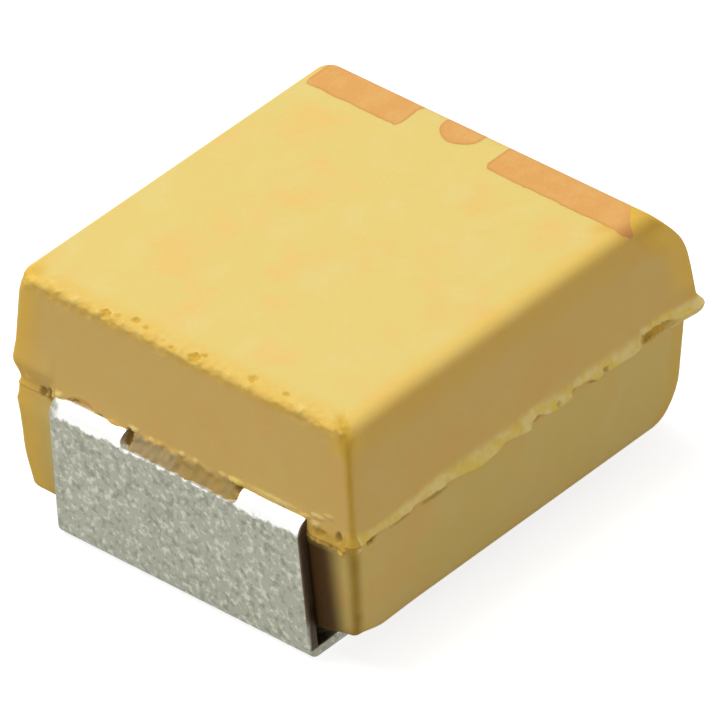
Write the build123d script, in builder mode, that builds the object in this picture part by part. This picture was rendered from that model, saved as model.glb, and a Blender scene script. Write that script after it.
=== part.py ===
from build123d import *
import math
import os

os.makedirs("parts", exist_ok=True)

# Moulded chip tantalum capacitor, size 3528-21, in millimetres.
# +X points to the positive end, +Z is up, and z = 0 is the board under the feet.
# The origin is the middle of the footprint.

# Moulded case
case_length = 3.35
case_width = 2.96
case_top = 1.91
case_floor = 0.195
parting_height = 1.035
upper_draft = 5.0
lower_draft = 4.2
lower_inset = 0.01
upper_edge_radius = 0.045
lower_edge_radius = 0.11
cathode_edge_radius = 0.05

# Flash left round the case, just above the parting line: a blunt tip and a slope over it
flash_reach = 0.04
flash_lift = 0.02
flash_tip_height = 0.03
flash_slope_height = 0.08

# Bevel along the top edge of the positive end, and the round edge under it
bevel_run = 0.2
bevel_drop = 0.33
bevel_crest_radius = 0.08
bevel_foot_radius = 0.5
positive_floor_radius = 0.38

# Folded terminals
terminal_width = 2.2
terminal_thickness = 0.085
foot_length = 0.8
lead_gap = 0.01
plate_lean = 3.1
inner_bend_radius = 0.035
heel_bend_radius = 0.01
notch_width = 0.95
notch_drop = 0.09
notch_reach = 0.3
notch_corner_radius = 0.04

# Tabs inside the case
anode_tab_length = 0.62
anode_tab_width = 1.2
cathode_entry_length = 0.2
cathode_jog_run = 0.12
cathode_shelf_length = 1.25
cathode_tab_width = 1.6

# Anode pellet, its riser wire and washer
pellet_length = 1.7
pellet_width = 1.9
pellet_height = 0.96
pellet_corner_radius = 0.1
pellet_setback = 0.44
wire_radius = 0.1
wire_embedded = 1.1
wire_weld_length = 0.4
washer_radius = 0.34
washer_thickness = 0.08

# Coats on the pellet, from the inside out, and the pad under them
dioxide_thickness = 0.03
graphite_thickness = 0.015
silver_thickness = 0.025
adhesive_thickness = 0.04
adhesive_margin = 0.1

# Printed polarity mark
ink_thickness = 0.006
mark_depth = 0.26
mark_gap_width = 0.745
mark_offset = 0.19
mark_disc_radius = 0.165
mark_disc_inset = 0.02
mark_corner_radius = 0.04

# Reach of a cut past the material it cuts
overrun = 0.5


# Heights and stations that follow from the sizes above
upper_slope = math.tan(math.radians(upper_draft))
upper_height = case_top - parting_height
lower_height = parting_height - case_floor
lead_top = parting_height + terminal_thickness
lower_end = case_length / 2 - lower_inset
shoulder_x = lower_end + lead_gap + terminal_thickness
heel_x = shoulder_x - lead_top * math.tan(math.radians(plate_lean))
outer_bend_radius = inner_bend_radius + terminal_thickness
outer_heel_radius = heel_bend_radius + terminal_thickness
foot_tip_x = shoulder_x - foot_length

wire_height = lead_top + wire_radius
coat_thickness = dioxide_thickness + graphite_thickness + silver_thickness
pellet_tail_x = pellet_setback + coat_thickness - case_length / 2
pellet_face_x = pellet_tail_x + pellet_length
coated_bottom = wire_height - pellet_height / 2 - coat_thickness
shelf_top = coated_bottom - adhesive_thickness

anode_tab_x = case_length / 2 - anode_tab_length
wire_tip_x = anode_tab_x + wire_weld_length
cathode_entry_x = case_length / 2 - cathode_entry_length
cathode_shelf_x = cathode_entry_x - cathode_jog_run
cathode_tab_x = cathode_shelf_x - cathode_shelf_length

top_half_width = case_width / 2 - upper_height * upper_slope
bevel_top_x = case_length / 2 - (upper_height - bevel_drop) * upper_slope - bevel_run
bevel_crest_turn = math.atan2(bevel_drop, bevel_run)
bevel_crest_run = bevel_crest_radius * math.tan(bevel_crest_turn / 2)


def cut_tab_sides(start_x, end_x, tab_width):
    """Trim both sides of a tab between two stations, down to the tab's width."""
    with BuildSketch(Plane.XY.offset(case_floor)) as side_strips:
        with Locations(((start_x + end_x) / 2, 0)):
            Rectangle(abs(end_x - start_x), terminal_width + overrun)
            Rectangle(abs(end_x - start_x), tab_width, mode=Mode.SUBTRACT)
    extrude(side_strips.sketch, amount=case_top, mode=Mode.SUBTRACT)


def cut_notch(end):
    """Cut the notch that crosses the bend, so that two legs enter the case."""
    with BuildSketch(Plane.YZ.offset(end * (case_length / 2 - notch_reach))) as notch_mouth:
        with Locations((0, lead_top - notch_drop)):
            RectangleRounded(
                notch_width, 2 * notch_drop, notch_corner_radius, align=(Align.CENTER, Align.MIN)
            )
    extrude(notch_mouth.sketch, amount=end * (notch_reach + overrun), mode=Mode.SUBTRACT)


# Anode terminal: foot, plate, shoulder and a flat tab that the riser wire is welded to
with BuildPart() as anode_terminal:
    with BuildSketch(Plane.XZ) as anode_strip:
        with BuildLine():
            FilletPolyline(
                (foot_tip_x, 0),
                (heel_x, 0),
                (shoulder_x, lead_top),
                (anode_tab_x, lead_top),
                radius=[outer_heel_radius, outer_bend_radius],
            )
            offset(amount=terminal_thickness, side=Side.LEFT)
        make_face()
    extrude(amount=terminal_width / 2, both=True)
    cut_notch(1)
    cut_tab_sides(anode_tab_x, case_length / 2 - notch_reach, anode_tab_width)
anode_terminal.part.label = "anode_terminal"
export_step(anode_terminal.part, "parts/anode_terminal.step")


# Cathode terminal: the same outside, and a tab that steps down to a shelf under the pellet
cathode_plane = Plane(origin=(0, 0, 0), x_dir=(-1, 0, 0), z_dir=(0, 1, 0))
with BuildPart() as cathode_terminal:
    with BuildSketch(cathode_plane) as cathode_strip:
        with BuildLine():
            FilletPolyline(
                (foot_tip_x, 0),
                (heel_x, 0),
                (shoulder_x, lead_top),
                (cathode_entry_x, lead_top),
                (cathode_shelf_x, shelf_top),
                (cathode_tab_x, shelf_top),
                radius=[outer_heel_radius, outer_bend_radius, outer_bend_radius, inner_bend_radius],
            )
            offset(amount=terminal_thickness, side=Side.LEFT)
        make_face()
    extrude(amount=terminal_width / 2, both=True)
    cut_notch(-1)
    cut_tab_sides(-cathode_entry_x, -cathode_tab_x, cathode_tab_width)
cathode_terminal.part.label = "cathode_terminal"
export_step(cathode_terminal.part, "parts/cathode_terminal.step")


# Riser wire, set in the pellet and lying on the anode terminal's tab
with BuildPart() as riser_wire:
    with BuildSketch(Plane.YZ.offset(pellet_face_x - wire_embedded)):
        with Locations((0, wire_height)):
            Circle(wire_radius)
    extrude(amount=wire_tip_x - pellet_face_x + wire_embedded)
riser_wire.part.label = "riser_wire"
export_step(riser_wire.part, "parts/riser_wire.step")


# Washer on the wire, against the pellet's face
with BuildPart() as wire_washer:
    with BuildSketch(Plane.YZ.offset(pellet_face_x)):
        with Locations((0, wire_height)):
            Circle(washer_radius)
            Circle(wire_radius, mode=Mode.SUBTRACT)
    extrude(amount=washer_thickness)
wire_washer.part.label = "wire_washer"
export_step(wire_washer.part, "parts/wire_washer.step")


# Sintered pellet with the socket that the wire was pressed into
with BuildPart() as anode_pellet:
    with BuildSketch(Plane.YZ.offset(pellet_tail_x)):
        with Locations((0, wire_height)):
            RectangleRounded(pellet_width, pellet_height, pellet_corner_radius)
    extrude(amount=pellet_length)
    with BuildSketch(Plane.YZ.offset(pellet_face_x)):
        with Locations((0, wire_height)):
            Circle(wire_radius)
    extrude(amount=-wire_embedded, mode=Mode.SUBTRACT)
anode_pellet.part.label = "anode_pellet"
export_step(anode_pellet.part, "parts/anode_pellet.step")


# Three coats, each a cup round the last one, open at the wire face
coats = []
covered = 0
for coat_name, thickness in (
    ("dioxide_coat", dioxide_thickness),
    ("graphite_coat", graphite_thickness),
    ("silver_coat", silver_thickness),
):
    inside = covered
    covered = covered + thickness
    with BuildPart() as coat:
        with BuildSketch(Plane.YZ.offset(pellet_tail_x - covered)):
            with Locations((0, wire_height)):
                RectangleRounded(
                    pellet_width + 2 * covered, pellet_height + 2 * covered, pellet_corner_radius + covered
                )
        extrude(amount=pellet_length + covered)
        with BuildSketch(Plane.YZ.offset(pellet_tail_x - inside)):
            with Locations((0, wire_height)):
                RectangleRounded(
                    pellet_width + 2 * inside, pellet_height + 2 * inside, pellet_corner_radius + inside
                )
        extrude(amount=pellet_length + inside, mode=Mode.SUBTRACT)
    coat.part.label = coat_name
    export_step(coat.part, f"parts/{coat_name}.step")
    coats.append(coat.part)


# Adhesive pad between the silver coat and the cathode terminal's shelf
pad_start_x = pellet_tail_x
pad_end_x = -cathode_tab_x - adhesive_margin
with BuildPart() as silver_adhesive:
    with BuildSketch(Plane.XY.offset(shelf_top)):
        with Locations(((pad_start_x + pad_end_x) / 2, 0)):
            Rectangle(pad_end_x - pad_start_x, cathode_tab_width - 2 * adhesive_margin)
    extrude(amount=adhesive_thickness)
silver_adhesive.part.label = "silver_adhesive"
export_step(silver_adhesive.part, "parts/silver_adhesive.step")


# Polarity mark: a bar, a disc cut by the edge and a bar, flush with the top at its positive edge
mark_edge_x = bevel_top_x - bevel_crest_run
mark_half_width = top_half_width - upper_edge_radius
with BuildPart() as polarity_mark:
    with BuildSketch(Plane.XY.offset(case_top - ink_thickness)):
        for side in (-1, 1):
            gap_side_y = mark_offset + side * mark_gap_width / 2
            bar_width = mark_half_width - side * gap_side_y
            with Locations((mark_edge_x - mark_depth / 2, gap_side_y + side * bar_width / 2)):
                RectangleRounded(mark_depth, bar_width, mark_corner_radius)
        with Locations((mark_edge_x - mark_disc_inset, mark_offset)):
            Circle(mark_disc_radius)
        with Locations((mark_edge_x, 0)):
            Rectangle(overrun, 2 * mark_half_width, align=(Align.MIN, Align.CENTER), mode=Mode.SUBTRACT)
    extrude(amount=ink_thickness)
polarity_mark.part.label = "polarity_mark"
export_step(polarity_mark.part, "parts/polarity_mark.step")


def positive_cross_edges(half):
    """The edges that run straight across the positive end of a half, from the lowest up."""
    return half.edges().filter_by(Axis.Y).filter_by(lambda edge: edge.center().X > 0).sort_by(Axis.Z)


# Upper half of the moulded case, drafted and bevelled along the positive end's top edge
bevel_plane = Plane(origin=(bevel_top_x, 0, case_top), x_dir=(0, 1, 0), z_dir=(bevel_drop, 0, bevel_run))
with BuildPart() as upper_half:
    with BuildSketch(Plane.XY.offset(parting_height)):
        Rectangle(case_length, case_width)
    extrude(amount=upper_height, taper=upper_draft)
    split(bisect_by=bevel_plane, keep=Keep.BOTTOM)
    fillet(positive_cross_edges(upper_half)[-1], radius=bevel_crest_radius)
    fillet(positive_cross_edges(upper_half)[1], radius=bevel_foot_radius)
    mouth_edges = upper_half.faces().sort_by(Axis.Z)[0].edges()
    fillet(upper_half.edges() - mouth_edges - positive_cross_edges(upper_half), radius=upper_edge_radius)


# Lower half, set in a little from the upper one
with BuildPart() as lower_half:
    with BuildSketch(Plane.XY.offset(parting_height)):
        Rectangle(case_length - 2 * lower_inset, case_width - 2 * lower_inset)
    extrude(amount=-lower_height, taper=lower_draft)
    fillet(positive_cross_edges(lower_half)[0], radius=positive_floor_radius)
    fillet(lower_half.edges().filter_by(Axis.X).sort_by(Axis.Z)[:2], radius=lower_edge_radius)
    mouth_edges = lower_half.faces().sort_by(Axis.Z)[-1].edges()
    cathode_end = lower_half.faces().sort_by(Axis.X)[0]
    fillet(cathode_end.edges() - mouth_edges, radius=cathode_edge_radius)


# Moulded case: both halves, the flash between them, and a hollow that fits what it holds
flash_taper = math.degrees(math.atan2(flash_reach, flash_slope_height))
with BuildPart() as moulded_case:
    add(upper_half.part)
    add(lower_half.part)
    for flash_bottom, flash_height, taper in (
        (parting_height + flash_lift, flash_tip_height, 0),
        (parting_height + flash_lift + flash_tip_height, flash_slope_height, flash_taper),
    ):
        with BuildSketch(Plane.XY.offset(flash_bottom)):
            RectangleRounded(
                case_length + 2 * flash_reach, case_width + 2 * flash_reach, upper_edge_radius + flash_reach
            )
        extrude(amount=flash_height, taper=taper)
    for held in (anode_terminal, cathode_terminal, riser_wire, wire_washer, anode_pellet):
        add(held.part, mode=Mode.SUBTRACT)
    for laid in (silver_adhesive.part, polarity_mark.part, *coats):
        add(laid, mode=Mode.SUBTRACT)
moulded_case.part.label = "moulded_case"
export_step(moulded_case.part, "parts/moulded_case.step")
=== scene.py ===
import cmath
import math

import bpy
import numpy as np
from mathutils import Matrix, Vector, bvhtree, noise


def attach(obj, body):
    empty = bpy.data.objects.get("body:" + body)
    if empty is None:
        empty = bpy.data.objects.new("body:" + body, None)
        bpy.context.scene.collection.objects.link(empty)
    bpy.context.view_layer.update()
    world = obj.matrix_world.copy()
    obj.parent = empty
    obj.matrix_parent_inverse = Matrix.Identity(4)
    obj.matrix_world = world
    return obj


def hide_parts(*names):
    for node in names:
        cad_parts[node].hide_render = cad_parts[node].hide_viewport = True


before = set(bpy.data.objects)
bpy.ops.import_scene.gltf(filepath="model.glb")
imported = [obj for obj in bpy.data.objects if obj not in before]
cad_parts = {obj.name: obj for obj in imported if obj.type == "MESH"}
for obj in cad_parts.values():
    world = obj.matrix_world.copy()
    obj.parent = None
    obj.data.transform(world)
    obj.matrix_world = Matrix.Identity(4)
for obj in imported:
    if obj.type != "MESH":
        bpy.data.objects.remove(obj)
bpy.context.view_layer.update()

# Lengths below are in millimetres and become metres as each mesh is made
MM = 0.001

# Moulded case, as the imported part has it
CASE_LENGTH = 3.35
CASE_WIDTH = 2.96
CASE_TOP = 1.91
CASE_FLOOR = 0.195
PARTING = 1.035
UPPER_SLOPE = math.tan(math.radians(5.0))
FAR_SLOPE = math.tan(math.radians(4.0))
LOWER_SLOPE = math.tan(math.radians(4.2))
LOWER_INSET = 0.01

# Terminal strip
STRIP_WIDTH = 2.2
STRIP_THICKNESS = 0.085
STRIP_TOP = 1.12
SHOULDER_TOP = 1.145
SHOULDER_X = 1.76
HEEL_X = 1.699
FOOT_TIP_X = 0.96
HEEL_BEND_RADIUS = 0.048
BEND_RADIUS = 0.0775
BEND_STEPS = 14
STRIP_EDGE_RADIUS = 0.012
STRIP_EDGE_STEPS = 3
SHARP_ANGLE = math.radians(40)
SHELF_TOP = 0.63
LEFT_SHOULDER_TRIM = 0.035
TRIM_Z = (0.60, 1.00)
TRIM_Y = (0.85, STRIP_WIDTH / 2)
NOTCH_LOW_Y = -0.565
NOTCH_HIGH_Y = 0.450
NOTCH_DROP = 0.075
NOTCH_END_X = 1.375
NOTCH_CORNER_RADIUS = 0.045
NOTCH_CORNER_STEPS = 8
NOTCH_OVERSHOOT = 0.3

# Terminals: the end they sit at, where the strip ends, the inner tab's width and its line (x, z, bend radius)
TERMINALS = {
    "cathode_terminal": (-1, 1.50, 1.6, (
        (1.583, STRIP_TOP, 0.0), (1.508, STRIP_TOP, BEND_RADIUS), (1.388, SHELF_TOP, BEND_RADIUS),
        (0.105, SHELF_TOP, 0.0),
    )),
    "anode_terminal": (1, 1.345, 1.2, ((1.360, STRIP_TOP, 0.0), (1.055, STRIP_TOP, 0.0))),
}


# Small tools for meshes and numbers
def new_object(name, data):
    """Put a new object in the scene."""
    made = bpy.data.objects.new(name, data)
    bpy.context.scene.collection.objects.link(made)
    return made


def mesh_object(name, points, faces, unit=MM):
    """An object of points and faces, given in millimetres unless another unit is named."""
    mesh = bpy.data.meshes.new(name)
    mesh.from_pydata([tuple(c * unit for c in p) for p in points], [], faces)
    return new_object(name, mesh)


def new_piece(name, points, faces, material):
    """Make one mesh piece of the capacitor from points in millimetres."""
    piece = mesh_object(name, points, faces)
    piece.data.materials.append(material)
    return piece


def smooth_step(low, high, value):
    """Ease from 0 at low to 1 at high."""
    t = min(1.0, max(0.0, (value - low) / (high - low)))
    return t * t * (3.0 - 2.0 * t)


def fade_out(low, high, value):
    """Ease from 1 at low to 0 at high."""
    return 1.0 - smooth_step(low, high, value)


def hump(centre, half_width, value):
    """Ease up to 1 at the centre and back to 0 at half a width away."""
    return fade_out(0.0, half_width, abs(value - centre))


def grain(x, y, z, size, seed):
    """Smooth noise from -1 to 1 whose lumps are about this size."""
    return noise.noise(Vector((x / size + seed, y / size - seed, z / size + 2.0 * seed)))


def half_grain(x, y, z, size, seed):
    """The same noise, from 0 to 1."""
    return 0.5 + 0.5 * grain(x, y, z, size, seed)


# Node tools
NOISE_ROUGHNESS = 0.55


def add_node(tree, kind, inputs, **settings):
    """Add a node with its settings, and link or set its inputs."""
    node = tree.nodes.new(kind)
    for name, value in settings.items():
        setattr(node, name, value)
    for socket, value in inputs.items():
        if isinstance(value, bpy.types.NodeSocket):
            tree.links.new(value, node.inputs[socket])
        else:
            node.inputs[socket].default_value = value
    return node


def new_material(name):
    """Start a material and give it back with its node tree and surface shader."""
    material = bpy.data.materials.new(name)
    material.use_nodes = True
    tree = material.node_tree
    return material, tree, tree.nodes["Principled BSDF"]


def object_place(tree):
    """The piece's Object coordinates, in metres."""
    return tree.nodes.new("ShaderNodeTexCoord").outputs["Object"]


def object_noise(tree, size, detail, offset=0.0):
    """Noise on Object coordinates, with lumps of a size in millimetres."""
    shift = add_node(tree, "ShaderNodeMapping", {"Vector": object_place(tree), "Location": (offset,) * 3})
    texture = add_node(tree, "ShaderNodeTexNoise", {
        "Vector": shift.outputs["Vector"],
        "Scale": 1.0 / (size * MM),
        "Detail": detail,
        "Roughness": NOISE_ROUGHNESS,
    })
    return texture.outputs["Fac"]


def noise_mask(tree, size, detail, low, high, offset=0.0, strength=1.0):
    """Noise as a mask that rises from 0 to a strength between two of its values."""
    return remap(tree, object_noise(tree, size, detail, offset), low, high, 0.0, strength)


def object_axis(tree, axis, low, high, wander=None):
    """A mask that rises from 0 to 1 between two places along an Object axis, in millimetres."""
    value = add_node(tree, "ShaderNodeSeparateXYZ", {"Vector": object_place(tree)}).outputs[axis]
    if wander is not None:
        value = combined(tree, "ADD", value, wander)
    return remap(tree, value, low * MM, high * MM)


def combined(tree, operation, first, second):
    """Two values, or a value and a number, brought together by an operation."""
    return add_node(tree, "ShaderNodeMath", {0: first, 1: second}, operation=operation).outputs["Value"]


def larger(tree, first, second):
    """The larger of two values."""
    return combined(tree, "MAXIMUM", first, second)


def times(tree, first, second):
    """Multiply two values, or a value by a number."""
    return combined(tree, "MULTIPLY", first, second)


def mask_from(tree, attribute):
    """A mask that was painted on the piece's points."""
    return add_node(tree, "ShaderNodeAttribute", {}, attribute_name=attribute).outputs["Fac"]


def remap(tree, value, low, high, to_low=0.0, to_high=1.0):
    """Stretch a value's range from low and high to two others, and clamp it."""
    inputs = {"Value": value, "From Min": low, "From Max": high, "To Min": to_low, "To Max": to_high}
    return add_node(tree, "ShaderNodeMapRange", inputs).outputs["Result"]


def layered(tree, ground, layers):
    """Lay colours over a ground, one after another, each by a mask, a painted mask's name or noise settings."""
    colour = (*ground, 1.0)
    for over, mask in layers:
        if isinstance(mask, str):
            mask = mask_from(tree, mask)
        if isinstance(mask, tuple):
            mask = noise_mask(tree, *mask)
        over = (*over, 1.0) if isinstance(over, tuple) else over
        inputs = {"A": colour, "B": over, "Factor": mask}
        colour = add_node(tree, "ShaderNodeMix", inputs, data_type="RGBA").outputs["Result"]
    return colour


def dress_shader(tree, shader, colour, roughness, bumps):
    """Give the shader a colour, a roughness and a chain of bumps: height, depth in millimetres and strength."""
    tree.links.new(colour, shader.inputs["Base Color"])
    tree.links.new(roughness, shader.inputs["Roughness"])
    under = {}
    for height, depth, strength in bumps:
        inputs = {"Height": height, "Distance": depth * MM, "Strength": strength, **under}
        under = {"Normal": add_node(tree, "ShaderNodeBump", inputs).outputs["Normal"]}
    tree.links.new(under["Normal"], shader.inputs["Normal"])


# Finishes of what shows
EPOXY_YELLOW = (0.800, 0.615, 0.185)
EPOXY_PEACH = (0.855, 0.565, 0.175)
EPOXY_PALE = (0.800, 0.640, 0.225)
EPOXY_RESIN = (0.660, 0.390, 0.035)
EPOXY_GOLDEN = (0.840, 0.500, 0.070)
# Painted highlight on the rounded corner rims
EPOXY_RIM_HIGHLIGHT = (0.990, 0.630, 0.115)
# Painted shade: the walls warmer and darker than the flat top
EPOXY_WALL_SHADE = (0.865, 0.470, 0.128)
# Painted shade beside the terminal's plate and in the pit at the notch's end
EPOXY_SHADE = (0.068, 0.026, 0.003)
# Pale crumbs, and painted highlight on the flash's up-facing ledge
EPOXY_CRUMB_AND_HIGHLIGHT = (0.980, 0.770, 0.300)
EPOXY_LUMP = (0.930, 0.680, 0.130)
# Dark pits, and painted shadow under the flash's tip
EPOXY_PIT_AND_SHADE = (0.260, 0.150, 0.016)
# Painted shade in the notch, under the upper half
EPOXY_NOTCH_SHADE = (0.315, 0.260, 0.150)
TIN_GREY = (0.415, 0.420, 0.335)
TIN_DEEP = (0.385, 0.385, 0.310)
TIN_PALE = (0.62, 0.63, 0.52)
TIN_DARK = (0.26, 0.265, 0.205)
# Painted highlight over the terminal's bend
TIN_BEND_HIGHLIGHT = (0.98, 0.98, 0.96)
# Painted shade on the strip's cut sides
CUT_SIDE_SHADE = (0.090, 0.055, 0.028)
# Painted shadow on the foot and the low inner face of the plate
FOOT_SHADE_BROWN = (0.045, 0.022, 0.008)
INK_ORANGE = (0.735, 0.355, 0.078)
INK_LIGHT = (0.760, 0.405, 0.105)
INK_DEEP = (0.66, 0.30, 0.075)
INK_RIM = (0.60, 0.25, 0.055)

# Noise masks: size of the lumps, detail, where the mask starts and is full, shift of the pattern, strength
EPOXY_CLOUDS = (0.42, 2.0, 0.50, 0.66, 0.0, 0.75)
EPOXY_VEILS = (0.30, 2.5, 0.50, 0.68, 0.004, 0.7)
EPOXY_FILLER = (0.020, 3.0, 0.30, 0.70)
EPOXY_LUMPS = (0.11, 2.0, 0.42, 0.62, 0.006)
TIN_PATCHES = (0.35, 2.0, 0.35, 0.65, 0.0, 0.4)
TIN_FLECKS = (0.050, 2.0, 0.50, 0.66, 0.0, 0.9)
TIN_SHADES = (0.056, 2.0, 0.50, 0.68, 0.003, 0.8)
INK_CLOUDS = (0.16, 3.0, 0.42, 0.62, 0.0, 0.8)
INK_SPECKS = (0.022, 2.0, 0.45, 0.70)

# Plain noises for relief and ragged borders: size of the lumps, detail, shift of the pattern
EPOXY_RELIEF = (0.09, 3.0)
TIN_RELIEF = (0.034, 2.5, 0.007)
TIN_RAGGED = (0.06, 3.0, 0.005)
RAGGED_SWING = 0.020

# Zones of the tin plate: where each mask starts and is full along its axis
BEND_HIGHLIGHT_Z = (1.022, 1.048)
BEND_HIGHLIGHT_Y = (1.040, 0.990)
CUT_SIDE_Y = (1.090, 1.096)
CUT_SIDE_Z = (0.16, 0.34)
FOOT_SHADE_PLATE_X = (-1.700, -1.680)
FOOT_SHADE_FOOT_X = (-1.420, -1.520)
FOOT_SHADE_LOW_Z = (0.070, 0.080)
FOOT_SHADE_HIGH_Z = (0.50, 0.40)

# How strongly the small grain and the tin's zones colour the surface
FILLER_SHARE = 0.05
SPECK_SHARE = 0.18
CUT_SIDE_SHARE = 0.95
FOOT_SHADE_SHARE = 0.92


def make_epoxy():
    """Matt filled epoxy: clouded yellow, deeper at the resin-rich edges, paler at its crumbs, with painted shade
    on the walls, in pits, in the notch and beside the terminal, and painted highlight on the corner rims and the
    flash's up-facing ledge.
    """
    material, tree, shader = new_material("case_epoxy_yellow")
    filler = noise_mask(tree, *EPOXY_FILLER)
    crumbs_and_highlight = layered(tree, EPOXY_CRUMB_AND_HIGHLIGHT, ((EPOXY_LUMP, EPOXY_LUMPS),))
    colour = layered(tree, EPOXY_YELLOW, (
        (EPOXY_PEACH, EPOXY_CLOUDS),
        (EPOXY_PALE, EPOXY_VEILS),
        (EPOXY_RESIN, times(tree, filler, FILLER_SHARE)),
        (EPOXY_WALL_SHADE, "wall_shade_tint"),
        (EPOXY_NOTCH_SHADE, "notch_shade"),
        (EPOXY_GOLDEN, "golden"),
        (EPOXY_RIM_HIGHLIGHT, "rim_highlight"),
        (EPOXY_RESIN, "resin_edge"),
        (crumbs_and_highlight, "crumbs_and_ledge_highlight"),
        (EPOXY_PIT_AND_SHADE, "pits_and_shade"),
        (EPOXY_SHADE, "painted_shade"),
    ))
    shader.inputs["IOR"].default_value = 1.45
    shader.inputs["Specular IOR Level"].default_value = 0.25
    roughness = remap(tree, filler, 0.0, 1.0, 0.62, 0.80)
    bumps = ((filler, 0.0012, 0.5), (object_noise(tree, *EPOXY_RELIEF), 0.004, 0.35))
    dress_shader(tree, shader, colour, roughness, bumps)
    return material


def tin_zones(tree):
    """Masks of the tin plate: painted highlight over the bend, painted shade on the cut sides, and painted shadow
    on the foot and the low inner face of the plate.
    """
    ragged = remap(tree, object_noise(tree, *TIN_RAGGED), 0.35, 0.65, -RAGGED_SWING * MM, RAGGED_SWING * MM)
    # Painted highlight over the bend
    bend_highlight = times(
        tree, object_axis(tree, "Z", *BEND_HIGHLIGHT_Z, ragged), object_axis(tree, "Y", *BEND_HIGHLIGHT_Y, ragged)
    )
    left, right = (object_axis(tree, "Y", *(sign * y for y in CUT_SIDE_Y)) for sign in (1, -1))
    # Painted shade on the cut sides, fading out low down
    sides = times(tree, larger(tree, left, right), object_axis(tree, "Z", *CUT_SIDE_Z, ragged))
    # Painted shadow on the foot and the low inner face of the plate
    by_plate = times(tree, object_axis(tree, "X", *FOOT_SHADE_PLATE_X), object_axis(tree, "X", *FOOT_SHADE_FOOT_X, ragged))
    low = times(tree, object_axis(tree, "Z", *FOOT_SHADE_LOW_Z), object_axis(tree, "Z", *FOOT_SHADE_HIGH_Z))
    return bend_highlight, sides, times(tree, by_plate, low)


def make_tin():
    """Matt tin plate: coarse pale and dark grains, a painted highlight over the bend where it is also smoother,
    painted shade on its cut sides, and painted shadow on its foot by the plate.
    """
    material, tree, shader = new_material("matt_tin")
    bend_highlight, sides, foot_shade = tin_zones(tree)
    colour = layered(tree, TIN_GREY, (
        (TIN_DEEP, TIN_PATCHES),
        (TIN_PALE, TIN_FLECKS),
        (TIN_DARK, TIN_SHADES),
        (TIN_BEND_HIGHLIGHT, bend_highlight),
        (CUT_SIDE_SHADE, times(tree, sides, CUT_SIDE_SHARE)),
        (FOOT_SHADE_BROWN, times(tree, foot_shade, FOOT_SHADE_SHARE)),
    ))
    shader.inputs["Metallic"].default_value = 0.85
    roughness = remap(tree, bend_highlight, 0.0, 1.0, 0.48, 0.34)
    dress_shader(tree, shader, colour, roughness, ((object_noise(tree, *TIN_RELIEF), 0.004, 0.45),))
    return material


def make_ink():
    """Orange marking ink: thin over the clouds of the case, darker along its rims."""
    material, tree, shader = new_material("marking_ink_orange")
    specks = noise_mask(tree, *INK_SPECKS)
    colour = layered(tree, INK_ORANGE, (
        (INK_LIGHT, INK_CLOUDS),
        (INK_DEEP, times(tree, specks, SPECK_SHARE)),
        (INK_RIM, "ink_rim"),
    ))
    roughness = remap(tree, specks, 0.0, 1.0, 0.55, 0.72)
    dress_shader(tree, shader, colour, roughness, ((specks, 0.0010, 0.5),))
    return material


# Finishes of what the case hides, by node: name, ground, fleck, fleck size, metal, roughness, relief depth
HIDDEN_FINISHES = {
    "anode_pellet": ("sintered_tantalum", (0.11, 0.11, 0.125), (0.24, 0.24, 0.26), 0.020, 0.7, 0.75, 0.010),
    "riser_wire": ("tantalum_wire", (0.33, 0.34, 0.37), (0.52, 0.53, 0.56), 0.030, 1.0, 0.35, 0.002),
    "wire_washer": ("white_ptfe", (0.84, 0.84, 0.82), (0.90, 0.90, 0.88), 0.060, 0.0, 0.42, 0.002),
    "dioxide_coat": ("manganese_dioxide", (0.030, 0.028, 0.028), (0.075, 0.070, 0.066), 0.028, 0.0, 0.85, 0.012),
    "graphite_coat": ("graphite", (0.060, 0.060, 0.064), (0.130, 0.130, 0.136), 0.040, 0.15, 0.50, 0.004),
    "silver_coat": ("silver_paint", (0.54, 0.54, 0.52), (0.78, 0.78, 0.75), 0.024, 0.8, 0.45, 0.005),
    "silver_adhesive": ("silver_paste", (0.46, 0.46, 0.44), (0.70, 0.70, 0.67), 0.036, 0.7, 0.55, 0.008),
}

# Noise masks of these finishes, as above but without the size, which is each finish's own
HIDDEN_GRAIN = (3.0, 0.42, 0.64)
HIDDEN_CLOUDS = (2.0, 0.35, 0.65, 0.002, 0.4)
HIDDEN_CLOUD_SIZE = 9.0
GRAIN_SHARE = 0.8
GLOSS_SWING = 0.08


def make_hidden(name, ground, fleck, size, metal, roughness, depth):
    """A two-tone granular finish with its own relief and gloss."""
    material, tree, shader = new_material(name)
    grains = noise_mask(tree, size, *HIDDEN_GRAIN)
    clouds = noise_mask(tree, HIDDEN_CLOUD_SIZE * size, *HIDDEN_CLOUDS)
    colour = layered(tree, ground, ((fleck, times(tree, grains, GRAIN_SHARE)), (ground, clouds)))
    shader.inputs["Metallic"].default_value = metal
    gloss = remap(tree, grains, 0.0, 1.0, roughness + GLOSS_SWING, roughness - GLOSS_SWING)
    dress_shader(tree, shader, colour, gloss, ((grains, depth, 0.6),))
    return material


def dress_hidden_nodes():
    """Give each carried-over CAD node inside the case its own finish."""
    for node_name, finish in HIDDEN_FINISHES.items():
        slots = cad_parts[node_name].data.materials
        material = make_hidden(*finish)
        if len(slots) == 0:
            slots.append(material)
        for index in range(len(slots)):
            slots[index] = material


# Camera at the photograph's angle
CAMERA_AZIMUTH = math.radians(-46.72)
CAMERA_ELEVATION = math.radians(36.25)
CAMERA_ROLL = math.radians(-3.02)
CAMERA_DISTANCE = 100.0
IMAGE_SIZE = 720.0
PIXELS_PER_MM = 153.96
AIM_HEIGHT = 0.95
AIM_PIXEL = (351.6, 357.2)
SENSOR = 36.0
CLIP_START = 0.01
CLIP_END = 10.0


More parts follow.
